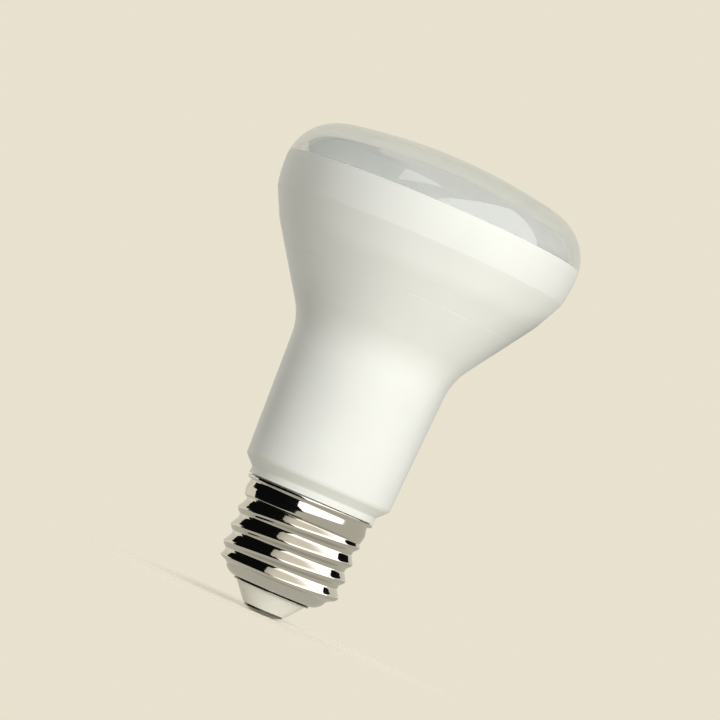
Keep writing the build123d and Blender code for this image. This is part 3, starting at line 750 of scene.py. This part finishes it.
wraps = {  # patches of a sphere that only reflections see: limits and fades in degrees, the rest in m
    "leftCard": {"about": capPoint, "azimuths": (-94, -3), "elevations": (-4, 37), "distance": 0.05,
                 "glow": felt},
    "leftHighCard": {"about": capPoint, "azimuths": (-121, -10), "elevations": (37, 72),
                     "distance": 0.05, "glow": felt},
    "rightCard": {"about": capPoint, "azimuths": (100, 132), "elevations": (0, 36), "distance": 0.07,
                  "glow": felt},
    "headCard": {"about": headPoint, "azimuths": (-112, 30), "elevations": (-4, 32), "distance": 0.9,
                 "glow": felt, "fadeAzimuths": (-60, 30)},
    "headHighCard": {"about": headPoint, "azimuths": (-146, 30), "elevations": (32, 80),
                     "distance": 0.9, "glow": felt, "fadeAzimuths": (-60, 30)},
    "backCard": {"about": headPoint, "azimuths": (126, 214), "elevations": (-4, 72), "distance": 0.95,
                 "glow": paleWall, "fadeElevations": ((40, 70), (40, 70))},
    "roomFloor": {"about": headPoint, "azimuths": (-180, 180), "elevations": (-89, -4), "distance": 4.0,
                  "glow": paleFloor},
    "capWindow": {"about": capPoint, "azimuths": (-15, 112), "elevations": (-4, 54), "distance": 0.8,
                  "glow": window, "fadeElevations": ((36, 53), (12, 27)), "lights": screwShell},
}
panels = {  # flat sheets that only the cover's gloss sees: azimuth, elevation and distance of the corners
    "windowPanel": {"glow": (1.5, 1.5, 1.53),
                    "corners": ((-15, -1.6, 3.14), (86, -7.5, 0.65), (86, 32, 0.76), (-15, 7.3, 3.17))},
    "highPanel": {"glow": (1.15, 1.15, 1.18),
                  "corners": ((-21, 36, 0.6), (22, 43, 0.6), (18, 50, 0.6), (-5, 63, 0.6))},
}


def roomDirection(azimuth, elevation):
    a, e = radians(azimuth), radians(elevation)
    return Vector((sin(a) * cos(e), -cos(a) * cos(e), sin(e)))


def roomPlace(about, azimuth, elevation, distance):
    return about + roomTurn @ roomDirection(azimuth, elevation) * distance


def makeSoftBox(name, look):
    data = bpy.data.lights.new(name, "AREA")
    data.shape = "SQUARE"
    data.size = look["size"]
    data.energy = look["power"]
    data.color = look["colour"]
    light = bpy.data.objects.new(name, data)
    light.location = roomPlace(headPoint, look["azimuth"], look["elevation"], look["distance"])
    outward = roomDirection(look["azimuth"], look["elevation"])
    light.rotation_mode = "QUATERNION"
    light.rotation_quaternion = roomTurn.to_quaternion() @ outward.to_track_quat("Z", "Y")
    light.visible_camera = False
    light.visible_glossy = False  # the panels give the gloss
    light.visible_transmission = look["throughCover"]
    scene.collection.objects.link(light)


def cardMaterial(name, glow, adds):
    material, tree, shader = newMaterial(name)
    tree.nodes.remove(shader)
    light = addNode(tree, "ShaderNodeEmission", inputs={"Color": (*glow, 1)})
    through = addNode(tree, "ShaderNodeBsdfTransparent")
    weight = addNode(tree, "ShaderNodeAttribute", {"attribute_name": "weight"})
    if adds:  # the glow is added to what lies behind
        join = addNode(tree, "ShaderNodeAddShader")
        tree.links.new(weight.outputs["Fac"], light.inputs["Strength"])
    else:  # the card hides what lies behind
        join = addNode(tree, "ShaderNodeMixShader")
        tree.links.new(weight.outputs["Fac"], join.inputs["Fac"])
    tree.links.new(through.outputs["BSDF"], join.inputs[-2])
    tree.links.new(light.outputs["Emission"], join.inputs[-1])
    tree.links.new(join.outputs["Shader"], tree.nodes["Material Output"].inputs["Surface"])
    return material


def makeCard(name, points, faces, weights, glow, receiver):
    mesh = bpy.data.meshes.new(name)
    mesh.from_pydata(points, [], faces)
    mesh.attributes.new("weight", "FLOAT", "POINT").data.foreach_set("value", weights)
    mesh.materials.append(cardMaterial(name, glow, receiver is not None))
    card = bpy.data.objects.new(name, mesh)
    card.visible_camera = False
    card.visible_diffuse = False
    card.visible_transmission = False
    card.visible_shadow = False
    scene.collection.objects.link(card)
    if receiver:
        receivers = bpy.data.collections.new(name + "Receivers")
        receivers.objects.link(receiver)
        card.light_linking.receiver_collection = receivers


def fadedWeight(angle, limits):
    if not limits:
        return 1.0
    return 1.0 - smoothStep((angle - limits[0]) / (limits[1] - limits[0]))


def makeWrap(name, wrap):
    (left, right), (lower, upper) = wrap["azimuths"], wrap["elevations"]
    points = []
    faces = []
    weights = []
    for row in range(wrapSteps + 1):
        elevation = lower + (upper - lower) * row / wrapSteps
        for column in range(wrapSteps + 1):
            azimuth = left + (right - left) * column / wrapSteps
            points.append(roomPlace(wrap["about"], azimuth, elevation, wrap["distance"]))
            weight = fadedWeight(azimuth, wrap.get("fadeAzimuths"))
            if "fadeElevations" in wrap:  # given at the left and the right edge
                ends = zip(*wrap["fadeElevations"])
                limits = [start + (end - start) * column / wrapSteps for start, end in ends]
                weight *= fadedWeight(elevation, limits)
            weights.append(weight)
            if row and column:
                corner = len(points) - 1
                below = corner - wrapSteps - 1
                faces.append((corner, corner - 1, below - 1, below))
    makeCard(name, points, faces, weights, wrap["glow"], wrap.get("lights"))


for boxName, box in softBoxes.items():
    makeSoftBox(boxName, box)
for wrapName, wrap in wraps.items():
    makeWrap(wrapName, wrap)
for panelName, panel in panels.items():
    corners = [roomPlace(headPoint, *corner) for corner in panel["corners"]]
    makeCard(panelName, corners, [(0, 1, 2, 3)], [1.0] * 4, panel["glow"], nodes["cover"])
print("stage: floor, surround,", len(softBoxes), "soft boxes,", len(wraps) + len(panels), "cards")
